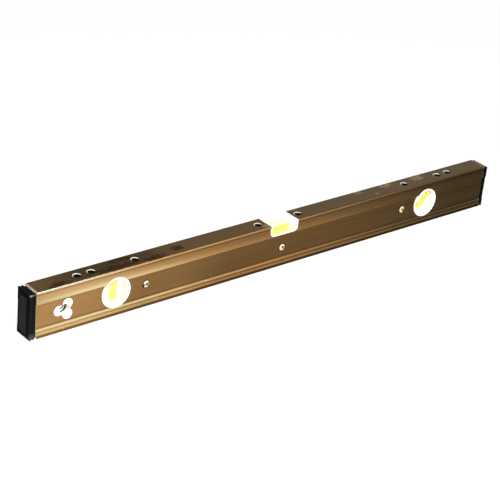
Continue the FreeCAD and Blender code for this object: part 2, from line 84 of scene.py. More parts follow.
class Graph:
    """Adds and joins the nodes of one shader tree."""

    def __init__(self, tree: bpy.types.NodeTree) -> None:
        """Keep the tree that the nodes go into.

        Args:
            tree: node tree of a material, a group or the world.
        """
        self.tree = tree
        self.count = 0

    def add(self, kind: str, **settings: object) -> bpy.types.Node:
        """Add one node and set its plain properties.

        Args:
            kind: Blender's type name of the node.
            **settings: property names and values.

        Returns:
            The new node.
        """
        node = self.tree.nodes.new(kind)
        node.location = (230 * (self.count % 9), -260 * (self.count // 9))
        self.count += 1
        for name, value in settings.items():
            setattr(node, name, value)
        return node

    def feed(self, target: Socket, value: Feed) -> None:
        """Give a socket a link or a plain value.

        Args:
            target: input socket that receives it.
            value: an output socket, a number, or a colour or vector.
        """
        if isinstance(value, bpy.types.NodeSocket):
            self.tree.links.new(value, target)
        elif target.type == "RGBA":
            target.default_value = (*value, 1.0)
        else:
            target.default_value = value

    def math(self, operation: str, first: Feed, second: Feed = 0.0, third: Feed = 0.0) -> Socket:
        """Add a Math node.

        Args:
            operation: Blender's name of the operation.
            first: first operand.
            second: second operand.
            third: third operand, of the operations that have one.

        Returns:
            The node's output.
        """
        node = self.add("ShaderNodeMath", operation=operation)
        for socket, value in zip(node.inputs, (first, second, third)):
            self.feed(socket, value)
        return node.outputs[0]

    def product(self, *factors: Feed) -> Socket:
        """Multiply two or more values.

        Args:
            *factors: sockets or numbers.

        Returns:
            Their product.
        """
        result = factors[0]
        for factor in factors[1:]:
            result = self.math("MULTIPLY", result, factor)
        return result

    def ramp(self, value: Feed, low: float, high: float, out: Span = (0.0, 1.0)) -> Socket:
        """Map a value smoothly from one range to another, with clamping.

        Args:
            value: socket that is mapped.
            low: value at which the result starts to change.
            high: value at which the result stops changing.
            out: results at low and at high.

        Returns:
            The mapped value.
        """
        node = self.add("ShaderNodeMapRange", interpolation_type="SMOOTHSTEP")
        self.feed(node.inputs[0], value)
        for index, number in enumerate((low, high, *out)):
            node.inputs[index + 1].default_value = number
        return node.outputs[0]

    def stops(self, value: Feed, pairs: Sequence[Span]) -> Socket:
        """Look a value up in a table of stops, straight between them.

        Args:
            value: socket that is looked up.
            pairs: value and result of each stop, in rising order.

        Returns:
            The result.
        """
        low, high = pairs[0][0], pairs[-1][0]
        share = self.math("DIVIDE", self.math("SUBTRACT", value, low), high - low)
        node = self.add("ShaderNodeValToRGB")
        self.feed(node.inputs[0], share)
        elements = node.color_ramp.elements
        for _ in pairs[2:]:
            elements.new(0.5)
        for element, (spot, level) in zip(elements, pairs):
            element.position = (spot - low) / (high - low)
            element.color = (level, level, level, 1.0)
        return node.outputs[0]

    def patch(self, pair: tuple[Feed, Feed], middle: Span, half: Span, rag: Feed) -> Socket:
        """Mask an oval place with a ragged outline.

        Args:
            pair: the two coordinates in metres.
            middle: its middle in millimetres.
            half: its half sizes in millimetres.
            rag: amount added to the distance, which makes the outline ragged.

        Returns:
            The mask.
        """
        total: Feed = rag
        for value, centre, size in zip(pair, middle, half):
            share = self.math("MULTIPLY_ADD", value, 1.0 / (size * MM), -centre / size)
            total = self.math("MULTIPLY_ADD", share, share, total)
        return self.ramp(total, *OVAL_EDGE, FALL)

    def blend(self, factor: Feed, first: Feed, second: Feed, mode: str = "MIX") -> Socket:
        """Mix two colours.

        Args:
            factor: share of the second colour.
            first: first colour.
            second: second colour.
            mode: Blender's blend type.

        Returns:
            The mixed colour.
        """
        node = self.add("ShaderNodeMix", data_type="RGBA", blend_type=mode)
        self.feed(node.inputs[0], factor)
        self.feed(node.inputs[6], first)
        self.feed(node.inputs[7], second)
        return node.outputs[2]

    def split(self, vector: Socket) -> tuple[Socket, ...]:
        """Part coordinates into X, Y and Z.

        Args:
            vector: coordinates.

        Returns:
            The three numbers.
        """
        node = self.add("ShaderNodeSeparateXYZ")
        self.feed(node.inputs[0], vector)
        return tuple(node.outputs)

    def choose(self, factor: Feed, first: Socket, second: Socket) -> Socket:
        """Mix two shaders.

        Args:
            factor: share of the second shader.
            first: first shader.
            second: second shader.

        Returns:
            The mixed shader.
        """
        node = self.add("ShaderNodeMixShader")
        for socket, value in zip(node.inputs, (factor, first, second)):
            self.feed(socket, value)
        return node.outputs[0]

    def stretch(self, vector: Socket, scale: Point) -> Socket:
        """Scale coordinates with a Mapping node.

        Args:
            vector: coordinates.
            scale: factor along each axis.

        Returns:
            The changed coordinates.
        """
        node = self.add("ShaderNodeMapping")
        self.feed(node.inputs["Vector"], vector)
        node.inputs["Scale"].default_value = scale
        return node.outputs[0]

    def noise(self, vector: Socket, scale: Feed, detail: float = 2.0, rough: float = 0.5) -> Socket:
        """Add a noise texture.

        Args:
            vector: coordinates.
            scale: size of the pattern.
            detail: number of finer layers.
            rough: strength of the finer layers.

        Returns:
            The noise, near 0.5 on average.
        """
        node = self.add("ShaderNodeTexNoise")
        self.feed(node.inputs["Vector"], vector)
        self.feed(node.inputs["Scale"], scale)
        node.inputs["Detail"].default_value = detail
        node.inputs["Roughness"].default_value = rough
        return node.outputs[0]

    def bump(self, height: Feed, strength: float, distance: float) -> Socket:
        """Turn a height into a normal.

        Args:
            height: height map.
            strength: share of the effect.
            distance: height of 1 in metres.

        Returns:
            The normal.
        """
        node = self.add("ShaderNodeBump")
        node.inputs["Strength"].default_value = strength
        node.inputs["Distance"].default_value = distance
        self.feed(node.inputs["Height"], height)
        return node.outputs[0]


class Effects:
    """Shader node groups that several finishes share."""

    def __init__(self) -> None:
        """Build the groups."""
        self.streaks = self._streaks()
        self.grain = self._grain()
        self.nicks = self._nicks()

    @staticmethod
    def _group(name: str, inputs: dict[str, float], outputs: Iterable[str]) -> tuple[Graph, dict, dict]:
        """Start a group with a coordinate input and number sockets.

        Args:
            name: name of the group.
            inputs: names and defaults of the number inputs.
            outputs: names of the number outputs.

        Returns:
            The group's graph, its inner input sockets and its inner output sockets.
        """
        tree = bpy.data.node_groups.new(name, "ShaderNodeTree")
        tree.interface.new_socket(name="Place", in_out="INPUT", socket_type="NodeSocketVector")
        for label, value in inputs.items():
            made = tree.interface.new_socket(name=label, in_out="INPUT", socket_type="NodeSocketFloat")
            made.default_value = value
        for label in outputs:
            tree.interface.new_socket(name=label, in_out="OUTPUT", socket_type="NodeSocketFloat")
        graph = Graph(tree)
        entry = graph.add("NodeGroupInput")
        leave = graph.add("NodeGroupOutput")
        return graph, {s.name: s for s in entry.outputs}, {s.name: s for s in leave.inputs}

    def _streaks(self) -> bpy.types.NodeTree:
        """Fine lines left by drawing or turning: Place comes stretched along them."""
        graph, given, asked = self._group("drawn_streaks", {"Scale": 1.0}, ("Tone", "Height"))
        broad = graph.noise(given["Place"], given["Scale"], detail=2.0, rough=0.6)
        finer = graph.math("MULTIPLY", given["Scale"], 4.3)
        fine = graph.noise(given["Place"], finer, detail=3.0, rough=0.7)
        tone = graph.math("ADD", graph.product(broad, 0.6), graph.product(fine, 0.4))
        graph.feed(asked["Tone"], graph.ramp(tone, 0.3, 0.7))
        graph.feed(asked["Height"], fine)
        return graph.tree

    def _grain(self) -> bpy.types.NodeTree:
        """Fine moulded or cast grain, with slow changes of tone."""
        graph, given, asked = self._group("moulded_grain", {"Scale": 900.0}, ("Tone", "Height"))
        fine = graph.noise(given["Place"], given["Scale"], detail=3.0, rough=0.6)
        slow = graph.noise(given["Place"], graph.math("MULTIPLY", given["Scale"], 0.06))
        graph.feed(asked["Tone"], slow)
        graph.feed(asked["Height"], fine)
        return graph.tree

    def _nicks(self) -> bpy.types.NodeTree:
        """Sparse small dents and specks."""
        graph, given, asked = self._group("nicks", {"Scale": 60.0, "Amount": 0.1}, ("Mask",))
        cells = graph.add("ShaderNodeTexVoronoi", feature="F1")
        graph.feed(cells.inputs["Vector"], given["Place"])
        graph.feed(cells.inputs["Scale"], given["Scale"])
        colour = graph.add("ShaderNodeSeparateColor")
        graph.feed(colour.inputs[0], cells.outputs["Color"])
        chosen = graph.math("LESS_THAN", colour.outputs[0], given["Amount"])
        reach = graph.math("MULTIPLY", colour.outputs[1], 0.22)
        inside = graph.math("LESS_THAN", cells.outputs["Distance"], reach)
        graph.feed(asked["Mask"], graph.product(chosen, inside))
        return graph.tree

    @staticmethod
    def place(graph: Graph, effect: bpy.types.NodeTree, where: Socket, **inputs: Feed) -> bpy.types.Node:
        """Put one of the groups into a material.

        Args:
            graph: graph of the material.
            effect: group to place.
            where: coordinates for it.
            **inputs: values of its other inputs.

        Returns:
            The group node.
        """
        node = graph.add("ShaderNodeGroup", node_tree=effect)
        graph.feed(node.inputs["Place"], where)
        for label, value in inputs.items():
            graph.feed(node.inputs[label], value)
        return node


class Finish:
    """Base of the finishes: makes a material with one Principled shader."""

    name: str

    def start(self) -> tuple[bpy.types.Material, Graph, bpy.types.Node, Socket]:
        """Make an empty material.

        Returns:
            The material, its graph, its Principled node and its Object coordinates.
        """
        material = bpy.data.materials.new(self.name)
        material.use_nodes = True
        material.node_tree.nodes.clear()
        graph = Graph(material.node_tree)
        shader = graph.add("ShaderNodeBsdfPrincipled")
        leave = graph.add("ShaderNodeOutputMaterial")
        graph.feed(leave.inputs["Surface"], shader.outputs[0])
        where = graph.add("ShaderNodeTexCoord").outputs["Object"]
        return material, graph, shader, where

    @staticmethod
    def plain(shader: bpy.types.Node, **values: Feed) -> None:
        """Set the shader's constant sockets.

        Args:
            shader: Principled node.
            **values: socket names with underscores for spaces, and their values.
        """
        for label, value in values.items():
            socket = shader.inputs[label.replace("_", " ")]
            socket.default_value = (*value, 1.0) if socket.type == "RGBA" else value

    def build(self, effects: Effects) -> bpy.types.Material:
        """Make the material.

        Args:
            effects: shared groups.

        Returns:
            The material.
        """
        raise NotImplementedError


@dataclass(frozen=True)
class BronzeFinish(Finish):
    """Bronze anodised aluminium, with a duller planed top and bare metal where it was cut; light, shade and
    highlights are painted into its colour by height and length, and its hollow is painted dark as shade.
    """

    name: str = "bronze anodised aluminium"
    colour: Colour = (0.66, 0.358, 0.129)
    top_left: Colour = (0.09, 0.056, 0.0235)
    top_right: Colour = (0.102, 0.072, 0.039)
    top_stops: Stops = (
        (-0.285, 0.95), (-0.27, 0.75), (-0.25, 0.52), (-0.2, 0.48), (-0.165, 0.58), (-0.15, 0.86),
        (-0.12, 1.0),
    )
    edge_colour: Colour = (0.86, 0.6, 0.36)
    bare_colour: Colour = (0.92, 0.88, 0.8)
    stain_colour: Colour = (0.02, 0.008, 0.0015)
    border_colour: Colour = (0.09, 0.048, 0.014)
    # painted highlight: whiter colour on the top bead at the left end
    glint_colour: Colour = (0.8, 0.72, 0.53)
    tan_colour: Colour = (0.26, 0.2, 0.12)
    stains: Ovals = (
        (-274.0, -6.5, 12.0, 4.0), (-209.0, -5.0, 26.0, 4.5), (-196.0, 6.0, 14.0, 3.0),
        (-162.0, -7.0, 13.0, 4.0), (-131.0, -1.0, 8.0, 4.5),
    )
    blotches: Ovals = (
        (160.0, 7.0, 7.0, 5.0), (136.3, -4.1, 3.0, 2.0), (206.0, 5.0, 8.0, 5.5), (120.0, 8.5, 5.0, 3.0),
        (-22.0, -6.5, 3.5, 3.0),
    )
    chips: Stops = (
        (-98.4, 8.3), (-92.7, 13.0), (-269.6, 3.1), (288.8, 44.8), (298.3, 42.0), (299.2, 8.8),
    )
    # painted reflection and shade: deeper orange on the lower flange
    flange_reflection_colour: Colour = (0.6, 0.26, 0.055)
    # painted highlight: a paler, whiter colour where the sides catch bright light, by height and towards the
    # left end
    pale_highlight_colour: Colour = (1.0, 0.8, 0.42)
    pale_highlight_stops: Stops = (
        (0.0, 0.0), (0.003, 0.2), (0.0045, 0.7), (0.0053, 0.6), (0.006, 0.5), (0.0087, 1.0),
        (0.0094, 0.5), (0.0099, 0.0), (0.0355, 0.0), (0.0366, 0.9), (0.038, 1.0), (0.041, 0.4),
        (0.045, 0.1), (0.047, 0.0),
    )
    # painted light and shade: brightness factor of the sides by height
    light_and_shade_stops: Stops = (
        (0.0, 0.85), (0.0028, 0.78), (0.0035, 1.15), (0.0043, 1.4), (0.0051, 1.3), (0.0058, 1.1),
        (0.0068, 0.9), (0.008, 0.88), (0.0088, 1.06), (0.0097, 1.09), (0.0104, 0.9), (0.0112, 0.94),
        (0.0125, 1.05), (0.0362, 1.0), (0.0425, 0.95), (0.0445, 1.08), (0.046, 0.85), (0.047, 0.5),
        (0.0478, 0.62), (0.0486, 1.38), (0.0494, 1.5), (0.05, 1.0),
    )
    # painted shade: brightness factor of the lower flange along the length
    foot_shade_stops: Stops = (
        (-0.3, 1.0), (-0.19, 0.97), (-0.12, 0.85), (0.06, 0.75), (0.12, 0.85), (0.25, 1.0),
    )
    # painted highlight: the lines above the flange blended towards the pale colour
    line_highlight_stops: Stops = ((0.0034, 0.0), (0.0042, 0.3), (0.005, 0.3), (0.0056, 0.0))
    # painted light and shade at the left end, by height
    left_light_stops: Stops = (
        (0.0, 1.0), (0.009, 0.85), (0.0105, 0.78), (0.012, 1.0), (0.0345, 1.0), (0.0352, 0.7),
        (0.0358, 0.7), (0.0366, 0.9), (0.043, 0.95), (0.0465, 1.0), (0.0478, 1.3), (0.05, 1.0),
    )
    # painted light and shade at the right end, by height, with a cooler hue
    right_light_stops: Stops = (
        (0.0, 1.0), (0.0035, 0.8), (0.0043, 0.65), (0.0058, 0.98), (0.0072, 0.8), (0.0088, 0.57),
        (0.0096, 0.72), (0.0104, 1.2), (0.012, 1.33), (0.02, 1.55), (0.028, 1.33), (0.0355, 1.3),
        (0.0366, 0.85), (0.04, 0.82), (0.043, 1.05), (0.0455, 0.86), (0.047, 1.1), (0.0478, 0.95),
        (0.0486, 0.56), (0.0494, 0.5), (0.05, 0.38),
    )
    right_light_hue: Colour = (0.84, 1.0, 1.15)
    roughness: float = 0.3
    top_roughness: float = 0.5
    top_metal: float = 0.15
    half_length: float = 300.0
    height: float = 50.0
    inner_y: float = 9.2
    inner_foot: float = 1.0
    inner_head: float = 44.5
    # painted shade: the inside of the hollow beam, near black
    hollow_shade_colour: Colour = (0.012, 0.009, 0.007)
    shine: float = 0.15
    drawn_scale: Point = (1.6, 420.0, 420.0)
    along_reach: Span = (-0.1, 0.25)
    pale_highlight_reach: Span = (-0.26, -0.06)
    glint_reach: Span = (-0.3, -0.16)
    glint_band: Span = (0.0478, 0.0486)
    flange_band: Span = (0.0027, 0.0036)
    left_reach: Span = (-0.2, -0.14)
    right_reach: Span = (-0.02, 0.27)
    foot_band: Span = (0.0028, 0.0038)
    border_band: Span = (0.0088, 0.0098)
    strip_reach: Span = (0.2986, 0.2994)
    strip_band: Span = (0.0355, 0.037)
    front_band: Span = (-0.009, -0.0085)
    rag_scale: Point = (0.4, 1.0, 1.0)
    rag_span: Span = (-1.2, 1.7)
    chip_half: Span = (0.7, 0.6)
    stain_share: float = 0.9
    blotch_share: float = 0.7
    chip_share: float = 0.9
    nick_share: float = 0.8
    strip_share: float = 0.5

    def build(self, effects: Effects) -> bpy.types.Material:
        """Make the material.

        Args:
            effects: shared groups.

        Returns:
            The material.
        """
        material, graph, shader, where = self.start()
        self.plain(shader, Specular_IOR_Level=self.shine)
        x, y, z = graph.split(where)
        top = graph.ramp(z, (self.height - 0.3) * MM, (self.height - 0.05) * MM)
        drawn = graph.stretch(where, self.drawn_scale)
        lines = effects.place(graph, effects.streaks, drawn, Scale=1.0)
        level = graph.ramp(lines.outputs["Tone"], 0.0, 1.0, (0.96, 1.04))
        grey = graph.add("ShaderNodeCombineColor")
        for index in range(3):
            graph.feed(grey.inputs[index], level)
        side = graph.blend(1.0, self.colour, grey.outputs[0], "MULTIPLY")
        along = graph.ramp(x, *self.along_reach)
        # painted highlight: paler colour by height, fading out from the left end
        pale_highlight = graph.product(graph.ramp(x, *self.pale_highlight_reach, FALL), graph.stops(z, self.pale_highlight_stops))
        side = graph.blend(pale_highlight, side, self.pale_highlight_colour)
        # painted highlight on the top bead, fading out from the left end
        glint = graph.product(graph.ramp(z, *self.glint_band), graph.ramp(x, *self.glint_reach, FALL))
        side = graph.blend(glint, side, self.glint_colour)
        # painted highlight on the lines above the flange
        side = graph.blend(graph.stops(z, self.line_highlight_stops), side, self.pale_highlight_colour)
        # painted reflection and shade: the lower flange turns deeper orange
        side = graph.blend(graph.ramp(z, *self.flange_band, (0.9, 0.0)), side, self.flange_reflection_colour)
        # painted light and shade: brightness factors by height, along the foot and at the left and right
        # ends
        shade = graph.stops(z, self.light_and_shade_stops)
        lefter = graph.ramp(x, *self.left_reach, FALL)
        righter = graph.ramp(x, *self.right_reach)
        foot = graph.ramp(z, *self.foot_band, FALL)
        for factor, tint in (
            (1.0, shade),
            (foot, graph.stops(x, self.foot_shade_stops)),
            (lefter, graph.stops(z, self.left_light_stops)),
            (righter, graph.stops(z, self.right_light_stops)),
            (righter, self.right_light_hue),
        ):
            side = graph.blend(factor, side, tint, "MULTIPLY")
        planed = graph.blend(along, self.top_left, self.top_right)
        planed = graph.blend(1.0, planed, graph.stops(x, self.top_stops), "MULTIPLY")
        colour = graph.blend(top, side, planed)
        border = graph.ramp(graph.math("ABSOLUTE", y), *self.border_band, (0.0, 0.8))
        colour = graph.blend(graph.product(top, border), colour, self.border_colour)
        ragged = graph.noise(graph.stretch(where, self.rag_scale), 420.0, detail=3.0, rough=0.65)
        rag = graph.ramp(ragged, 0.3, 0.7, self.rag_span)
        for places, share, tone in (
            (self.stains, self.stain_share, self.stain_colour),
            (self.blotches, self.blotch_share, self.tan_colour),
        ):
            for place in places:
                mask = graph.patch((x, y), place[:2], place[2:], rag)
                colour = graph.blend(graph.product(top, mask, share), colour, tone)
        length = graph.math("ABSOLUTE", x)
        strip = graph.product(graph.ramp(length, *self.strip_reach), graph.ramp(z, *self.strip_band))
        colour = graph.blend(graph.product(strip, self.strip_share), colour, self.edge_colour)
        end = graph.ramp(length, (self.half_length - 0.03) * MM, (self.half_length - 0.01) * MM)
        colour = graph.blend(end, colour, self.bare_colour)
        nicks = effects.place(graph, effects.nicks, where, Scale=55.0, Amount=0.02)
        colour = graph.blend(graph.product(nicks.outputs["Mask"], self.nick_share), colour, self.bare_colour)
        front = graph.ramp(y, *self.front_band, FALL)
        for place in self.chips:
            mask = graph.patch((x, z), place, self.chip_half, 0.0)
            colour = graph.blend(graph.product(front, mask, self.chip_share), colour, self.bare_colour)
        # painted shade: the inside of the hollow beam turns near black, not metallic and rough
        thick = graph.ramp(graph.math("ABSOLUTE", y), self.inner_y * MM, (self.inner_y + 0.3) * MM)
        low = graph.ramp(z, self.inner_foot * MM, (self.inner_foot + 0.2) * MM)
        high = graph.ramp(z, (self.inner_head - 0.2) * MM, self.inner_head * MM, FALL)
        uncut = graph.math("SUBTRACT", 1.0, end)
        hollow_shade = graph.product(graph.math("SUBTRACT", 1.0, thick), low, high, uncut)
        colour = graph.blend(hollow_shade, colour, self.hollow_shade_colour)
        graph.feed(shader.inputs["Base Color"], colour)
        metal = graph.math("MULTIPLY_ADD", end, -0.8, 1.0)
        dull = graph.math("MULTIPLY_ADD", top, self.top_metal - 1.0, 1.0)
        solid = graph.math("SUBTRACT", 1.0, hollow_shade)
        graph.feed(shader.inputs["Metallic"], graph.product(metal, dull, solid))
        rough = graph.ramp(lines.outputs["Tone"], 0.0, 1.0, (self.roughness - 0.03, self.roughness + 0.04))
        least = graph.math("MAXIMUM", hollow_shade, graph.product(top, self.top_roughness))
        rough = graph.math("MAXIMUM", rough, least)
        graph.feed(shader.inputs["Roughness"], rough)
        graph.feed(shader.inputs["Normal"], graph.bump(lines.outputs["Height"], 0.2, 0.00002))
        return material


@dataclass(frozen=True)
class PlasticFinish(Finish):
    """Moulded plastic or rubber with a fine grain, and a painted glow when inner_glow is set."""

    name: str
    colour: Colour
    roughness: float = 0.4
    shine: float = 0.5
    grain: float = 900.0
    tone: float = 0.06
    relief: float = 0.12
    # painted glow: emission as a share of the colour, stronger where seen through clear plastic
    glow: float = 0.0
    inner_glow: float = 0.0

    def build(self, effects: Effects) -> bpy.types.Material:
        """Make the material.

        Args:
            effects: shared groups.

        Returns:
            The material.
        """
        material, graph, shader, where = self.start()
        self.plain(shader, Specular_IOR_Level=self.shine)
        grain = effects.place(graph, effects.grain, where, Scale=self.grain)
        shade = tuple(part * (1.0 - self.tone) for part in self.colour)
        colour = graph.blend(grain.outputs["Tone"], shade, self.colour)
        graph.feed(shader.inputs["Base Color"], self.mark(graph, where, colour))
        rough = graph.ramp(grain.outputs["Height"], 0.3, 0.7, (self.roughness - 0.04, self.roughness + 0.05))
        graph.feed(shader.inputs["Roughness"], rough)
        graph.feed(shader.inputs["Normal"], graph.bump(grain.outputs["Height"], self.relief, 0.00005))
        # painted glow: the plastic emits light though it is no lamp
        if self.inner_glow:
            path = graph.add("ShaderNodeLightPath")
            passed = graph.math("GREATER_THAN", path.outputs["Transmission Depth"], 0.5)
            faint = tuple(part * self.glow for part in self.colour)
            clear = tuple(part * self.inner_glow for part in self.colour)
            self.plain(shader, Emission_Strength=1.0)
            light = self.mark(graph, where, graph.blend(passed, faint, clear), lit=True)
            graph.feed(shader.inputs["Emission Color"], light)
        return material

    def mark(self, graph: Graph, where: Socket, colour: Feed, lit: bool = False) -> Feed:
        """Tint places of the surface; plain plastic has none.

        Args:
            graph: nodes of the material; not used here.
            where: object coordinates; not used here.
            colour: colour of the moulding.
            lit: true for the painted glow of the emission; not used here.

        Returns:
            The colour with its marks.
        """
        return colour


@dataclass(frozen=True)
class LinerFinish(PlasticFinish):
    """White plastic, with painted shade inside the mouth of the hanging hole, a painted shadow at the seam
    and a painted glow on the rear lining.
    """

    # painted shade in the mouth, painted shadow at the seam between the linings, painted glow on the rear
    # lining
    mouth_shade_tint: Colour = (0.62, 0.61, 0.5)
    seam_shadow_colour: Colour = (0.004, 0.004, 0.004)
    rear_glow_colour: Colour = (0.9, 0.9, 0.88)
    liner_reach: Span = (-0.25, -0.245)
    rear_band: Span = (0.0019, 0.0024)
    mouth_shade_stops: Stops = ((-0.0094, 0.0), (-0.0088, 0.5), (-0.003, 1.0), (0.0, 1.0), (0.001, 0.0))
    seam_shadow_stops: Stops = ((-0.0036, 0.0), (-0.003, 1.0), (0.0018, 1.0), (0.0023, 0.0))

    def mark(self, graph: Graph, where: Socket, colour: Feed, lit: bool = False) -> Feed:
        """Paint shade on the front lining of the hanging hole, a shadow at the seam between the linings, and
        a glow on the rear one.

        Args:
            graph: nodes of the material.
            where: object coordinates.
            colour: colour of the moulding.
            lit: true for the painted glow of the emission.

        Returns:
            The colour with its marks.
        """
        split = graph.split(where)
        liner = graph.ramp(split[0], *self.liner_reach, FALL)
        # painted shade in the mouth of the front lining
        mouth = graph.stops(split[1], self.mouth_shade_stops)
        colour = graph.blend(graph.product(liner, mouth), colour, self.mouth_shade_tint, "MULTIPLY")
        # painted shadow at the seam between the linings
        seam_shadow = graph.stops(split[1], self.seam_shadow_stops)
        colour = graph.blend(graph.product(liner, seam_shadow), colour, self.seam_shadow_colour)
        # painted glow on the rear lining
        if lit:
            rear = graph.product(liner, graph.ramp(split[1], *self.rear_band))
            colour = graph.blend(rear, colour, self.rear_glow_colour)
        return colour


@dataclass(frozen=True)
class RubberFinish(PlasticFinish):
    """Black rubber, with painted light on the sunk panel of the end, a lighter lower front and a painted
    highlight on the top front corner.
    """

    # painted light on the sunk end panel, a lighter lower front, and a painted highlight on the top front
    # corner
    lit_panel_colour: Colour = (0.021, 0.022, 0.02)
    lower_front_colour: Colour = (0.05, 0.052, 0.052)
    corner_highlight_colour: Colour = (0.2, 0.21, 0.21)
    panel_reach: Span = (0.304, 0.3045)
    panel_depth: Span = (0.0058, 0.0063)
    panel_stops: Stops = ((0.0048, 0.0), (0.0054, 1.0), (0.0432, 1.0), (0.0438, 0.0))
    front_band: Span = (-0.0102, -0.0094)
    low_band: Span = (0.002, 0.009)
    corner_band: Span = (0.0472, 0.0478)
    corner_reach: Span = (-0.3045, -0.3035)

    def mark(self, graph: Graph, where: Socket, colour: Feed, lit: bool = False) -> Feed:
        """Paint light on the sunk panel, lighten the lower front and paint a highlight on the top front
        corner.

        Args:
            graph: nodes of the material.
            where: object coordinates.
            colour: colour of the moulding.
            lit: true for the painted glow of the emission; not used here.

        Returns:
            The colour with its marks.
        """
        x, y, z = graph.split(where)
        # painted light on the sunk panel
        outer = graph.ramp(graph.math("ABSOLUTE", x), *self.panel_reach)
        wide = graph.ramp(graph.math("ABSOLUTE", y), *self.panel_depth, FALL)
        tall = graph.stops(z, self.panel_stops)
        colour = graph.blend(graph.product(outer, wide, tall), colour, self.lit_panel_colour)
        # lighter along the lower front
        front = graph.product(graph.ramp(y, *self.front_band, FALL), graph.math("LESS_THAN", x, 0.0))
        low = graph.ramp(z, *self.low_band, FALL)
        colour = graph.blend(graph.product(front, low), colour, self.lower_front_colour)
        # painted highlight on the top front corner
        tip = graph.ramp(x, *self.corner_reach, (1.0, 0.3))
        corner = graph.product(front, graph.ramp(z, *self.corner_band), tip)
        return graph.blend(corner, colour, self.corner_highlight_colour)


@dataclass(frozen=True)
class MetalFinish(Finish):
    """Small turned or plated metal part, with painted shadow where it sinks in and painted glints and shadow
    spots on its face.
    """

    name: str
    colour: Colour
    roughness: float
    metallic: float
    depth_axis: int
    # painted shadow: depth_stops and near_stops give the share that keeps the plated colour; the rest turns
    # to the shadow colour
    depth_stops: Stops
    painted_shadow_colour: Colour
    near_stops: Stops = ()
    # painted glints and shadow spots on the face: the slot's shade and a golden rim reflection, and dark
    # shade
    gold_glint_spots: Ovals = ()
    shadow_spots: Ovals = ()
    gold_glint_colour: Colour = (0.75, 0.4, 0.1)

    def build(self, effects: Effects) -> bpy.types.Material:
        """Make the material.

        Args:
            effects: shared groups.

        Returns:
            The material.
        """
        material, graph, shader, where = self.start()
        self.plain(shader, Metallic=self.metallic)
        lines = effects.place(graph, effects.streaks, graph.stretch(where, (900.0, 900.0, 900.0)), Scale=1.0)
        shade = tuple(part * 0.85 for part in self.colour)
        colour = graph.blend(lines.outputs["Tone"], shade, self.colour)
        split = graph.split(where)
        # painted shadow outside the stops
        lit_share = graph.stops(split[self.depth_axis], self.depth_stops)
        if self.near_stops:
            lit_share = graph.product(lit_share, graph.stops(split[1], self.near_stops))
        # painted glints and shadow spots
        pair = (split[0], split[2])
        for spots, tone in ((self.gold_glint_spots, self.gold_glint_colour), (self.shadow_spots, self.painted_shadow_colour)):
            for place in spots:
                colour = graph.blend(graph.patch(pair, place[:2], place[2:], 0.0), colour, tone)
        graph.feed(shader.inputs["Base Color"], graph.blend(lit_share, self.painted_shadow_colour, colour))
        rough = graph.ramp(lines.outputs["Tone"], 0.0, 1.0, (self.roughness - 0.05, self.roughness + 0.06))
        graph.feed(shader.inputs["Roughness"], rough)
        return material


@dataclass(frozen=True)
class ClearFinish(Finish):
    """Clear block, vial liquid or bubble; lamps shine through it, and rays that went deep end in a painted
    glow.
    """

    name: str
    colour: Colour
    ior: float
    clear: float
    roughness: float = 0.02
    # painted glow: rays deeper than this end in an emission of the colour
    deepest: float = 5.5
    deep_glow: float = 0.9

    def build(self, effects: Effects) -> bpy.types.Material:
        """Make the material.

        Args:
            effects: shared groups.

        Returns:
            The material.
        """
        material, graph, shader, where = self.start()
        self.plain(shader, IOR=self.ior, Transmission_Weight=self.clear)
        grain = effects.place(graph, effects.grain, where, Scale=400.0)
        shade = tuple(part * 0.98 for part in self.colour)
        colour = graph.blend(grain.outputs["Tone"], shade, self.colour)
        graph.feed(shader.inputs["Base Color"], self.tint(graph, shader, where, colour))
        rough = graph.ramp(grain.outputs["Tone"], 0.3, 0.7, (self.roughness, self.roughness + 0.02))
        graph.feed(shader.inputs["Roughness"], rough)
        through = graph.add("ShaderNodeBsdfTransparent")
        through.inputs[0].default_value = (*self.colour, 1.0)
        path = graph.add("ShaderNodeLightPath")
        mixed = graph.choose(path.outputs["Is Shadow Ray"], shader.outputs[0], through.outputs[0])
        # painted glow for deep rays
        deep_glow = graph.add("ShaderNodeEmission")
        deep_glow.inputs["Color"].default_value = (*self.colour, 1.0)
        deep_glow.inputs["Strength"].default_value = self.deep_glow
        deep = graph.math("GREATER_THAN", path.outputs["Ray Depth"], self.deepest)
        closed = graph.choose(deep, mixed, deep_glow.outputs[0])
        leave = next(node for node in graph.tree.nodes if node.type == "OUTPUT_MATERIAL")
        graph.feed(leave.inputs["Surface"], closed)
        return material

    def tint(self, graph: Graph, shader: bpy.types.Node, where: Socket, colour: Feed) -> Feed:
        """Tint places of the surface; liquid and bubble have none.

        Args:
            graph: nodes of the material; not used here.
            shader: principled shader of the material; not used here.
            where: object coordinates; not used here.
            colour: colour of the clear material.

        Returns:
            The colour with its tints.
        """
        return colour


